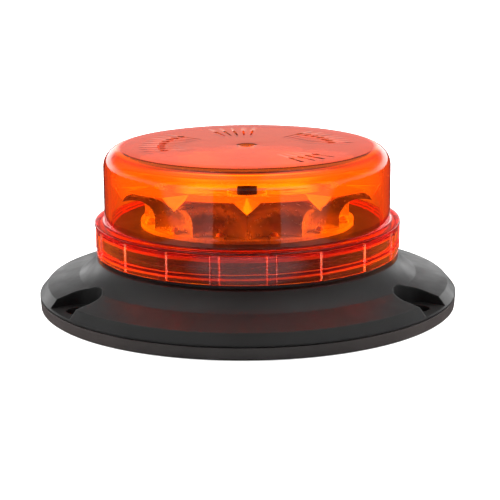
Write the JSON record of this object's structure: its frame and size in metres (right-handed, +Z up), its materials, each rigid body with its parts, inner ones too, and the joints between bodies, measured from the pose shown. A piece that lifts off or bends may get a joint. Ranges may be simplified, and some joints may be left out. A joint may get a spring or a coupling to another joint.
{
  "type": "led warning beacon",
  "caption": "Low-profile amber LED warning beacon: black three-bolt base, rubber gasket and a screw-on flat-topped dome lens over a cupped reflector.",
  "frame": {"origin": "centre of the gasket's flat underside, on the mounting surface", "axes": "+Z up through the dome, -Y the front, midway between two of the three bolt channels"},
  "size_m": [0.146, 0.146, 0.0556],
  "materials": {
    "black_plastic": "satin moulded black, fine texture",
    "gasket_rubber": "moulded black rubber",
    "amber_lens": "clear amber polycarbonate, polished",
    "seal_silicone": "red silicone",
    "metallised": "vacuum-metallised plastic, mirror bright",
    "black_steel": "black finished steel",
    "white_board": "white solder mask",
    "led_phosphor": "ceramic package with a yellow phosphor",
    "thermal_sheet": "grey gap-filler sheet",
    "bare_aluminium": "cast and machined aluminium",
    "zinc_steel": "bright zinc-plated steel",
    "header_plastic": "black connector plastic",
    "green_board": "green solder mask",
    "ferrite": "dark grey ferrite",
    "capacitor_can": "bright aluminium can",
    "chip_epoxy": "black epoxy",
    "chip_ceramic": "ceramic chip body",
    "nylon_white": "natural nylon",
    "cover_plastic": "fine textured black plastic",
    "seal_grey": "grey foam silicone",
    "grommet_rubber": "black rubber",
    "vent_plastic": "dark grey plastic"
  },
  "bodies": {
    "housing": {"base": "black_plastic", "base_gasket": "gasket_rubber", "reflector": "metallised", "reflector_screw": "black_steel", "led_board": "white_board", "leds": "led_phosphor", "thermal_pad": "thermal_sheet", "heat_sink": "bare_aluminium", "heat_sink_screws": "zinc_steel", "board_link": "header_plastic", "driver_board": "green_board", "board_screws": "zinc_steel", "power_inductor": "ferrite", "capacitors": "capacitor_can", "driver_chips": "chip_epoxy", "chip_parts": "chip_ceramic", "wire_header": "nylon_white", "bottom_cover": "cover_plastic", "cover_seal": "seal_grey", "cover_screws": "zinc_steel", "cable_grommet": "grommet_rubber", "vent_plug": "vent_plastic"},
    "seal": {"lens_seal": "seal_silicone"},
    "lens": {"lens": "amber_lens"}
  },
  "joints": [
    {"name": "lens_lift", "type": "slide", "parent": "housing", "child": "seal", "axis": [0, 0, 1], "range_m": [0, 0.006]},
    {"name": "lens_turn", "type": "hinge", "parent": "seal", "child": "lens", "pos_m": [0, 0, 0.0235], "axis": [0, 0, 1], "range_deg": [0, 540]}
  ],
  "couplings": [
    {"joint": "lens_lift", "follows": "lens_turn", "m_per_rad": 0.00063661}
  ]
}
